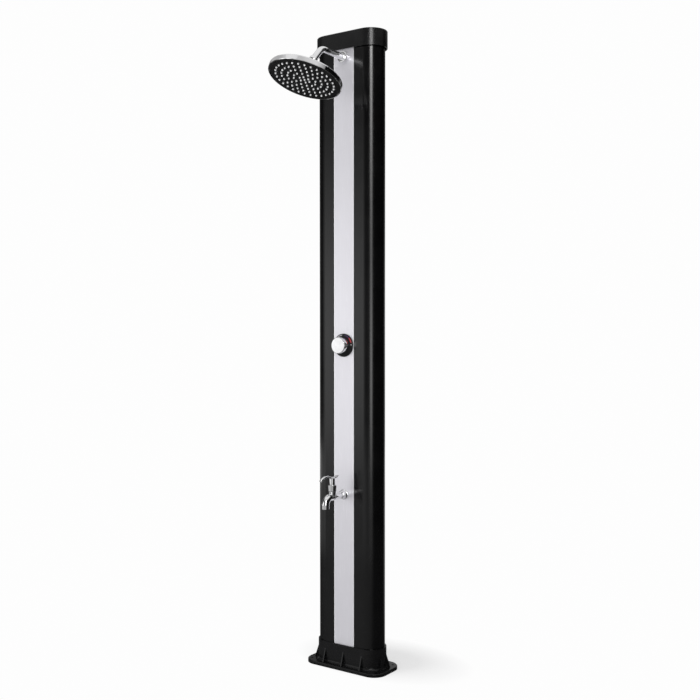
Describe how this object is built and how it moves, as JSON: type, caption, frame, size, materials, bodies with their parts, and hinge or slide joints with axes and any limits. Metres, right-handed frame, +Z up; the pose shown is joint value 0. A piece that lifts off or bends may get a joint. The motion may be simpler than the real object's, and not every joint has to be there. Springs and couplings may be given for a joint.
{
  "type": "outdoor shower post",
  "caption": "Freestanding solar shower: flat-fronted black tank column with silver strip, round tilting rain head, mixer knob, lever foot tap and a gusseted foot.",
  "frame": {"origin": "middle of the foot's underside, at the centre of its four bolt holes", "axes": "+Z up along the column, -Y towards the user on the side with the strip, taps and head, +X to the right as seen by that user"},
  "size_m": [0.316, 0.4492, 2.17],
  "materials": {
    "column_black": "satin black extruded plastic",
    "panel_silver": "satin anodised strip",
    "cap_black": "moulded satin black",
    "foot_black": "moulded glossy black",
    "plug_plastic": "moulded",
    "seal_rubber": "moulded rubber",
    "screw_steel": "bright stainless",
    "fitting_brass": "bare cast brass",
    "pipe_plastic": "plain tube",
    "fitting_plastic": "moulded",
    "cartridge_plastic": "moulded",
    "dial_black": "matt black with printed scale",
    "chrome_plate": "polished",
    "valve_ceramic": "ground ceramic",
    "plate_black": "satin black",
    "nozzle_silicone": "soft silicone"
  },
  "bodies": {
    "post": {"column_shell": "column_black", "front_panel": "panel_silver", "tank_top_plug": "plug_plastic", "tank_bottom_plug": "plug_plastic", "tank_top_seal": "seal_rubber", "tank_bottom_seal": "seal_rubber", "top_cap": "cap_black", "base_foot": "foot_black", "cap_screws": "screw_steel", "foot_screws": "screw_steel", "inlet_fitting": "fitting_brass", "inlet_washer": "seal_rubber", "inlet_locknut": "fitting_brass", "inlet_tee": "pipe_plastic", "fill_pipe": "pipe_plastic", "cold_pipe": "pipe_plastic", "hot_pipe": "pipe_plastic", "riser_pipe": "pipe_plastic", "drain_elbow": "fitting_plastic", "drain_washer": "seal_rubber", "drain_cap": "fitting_plastic", "mixer_body": "fitting_brass", "mixer_cartridge": "cartridge_plastic", "mixer_locknut": "fitting_brass", "dial_gasket": "seal_rubber", "dial_ring": "dial_black", "tap_elbow": "fitting_brass", "tap_flange": "chrome_plate", "tap_body": "chrome_plate", "tap_outlet": "cartridge_plastic", "tap_bonnet": "chrome_plate", "tap_fixed_disc": "valve_ceramic", "arm_elbow": "fitting_brass", "arm_escutcheon": "chrome_plate", "shower_arm": "chrome_plate", "arm_washer": "seal_rubber", "ball_stud": "chrome_plate"},
    "mixer": {"mixer_spindle": "fitting_brass", "mixer_knob": "chrome_plate", "knob_screw": "screw_steel"},
    "tap_handle": {"tap_turning_disc": "valve_ceramic", "tap_spindle": "fitting_brass", "tap_lever": "chrome_plate", "lever_screw": "screw_steel"},
    "ball_liner": {"ball_seat": "cartridge_plastic"},
    "ball_collar": {"ball_ring": "chrome_plate"},
    "shower_head": {"head_shell": "chrome_plate", "plate_gasket": "seal_rubber", "spray_plate": "plate_black", "spray_nozzles": "nozzle_silicone"}
  },
  "joints": [
    {"name": "mixer_turn", "type": "hinge", "parent": "post", "child": "mixer", "pos_m": [0, -0.07, 1.11], "axis": [0, 1, 0], "range_deg": [-90, 90]},
    {"name": "tap_turn", "type": "hinge", "parent": "post", "child": "tap_handle", "pos_m": [0, -0.115, 0.62], "axis": [0, 0, 1], "range_deg": [0, 90]},
    {"name": "head_tilt", "type": "hinge", "parent": "post", "child": "ball_liner", "pos_m": [0, -0.23835, 2.02165], "axis": [1, 0, 0], "range_deg": [-50, 0]},
    {"name": "head_roll", "type": "hinge", "parent": "ball_liner", "child": "ball_collar", "pos_m": [0, -0.23835, 2.02165], "axis": [0, 0.9392, -0.3434], "range_deg": [-20, 9]},
    {"name": "head_spin", "type": "hinge", "parent": "ball_collar", "child": "shower_head", "pos_m": [0, -0.23835, 2.02165], "axis": [-0.0901, -0.342, -0.9354], "continuous": true}
  ]
}
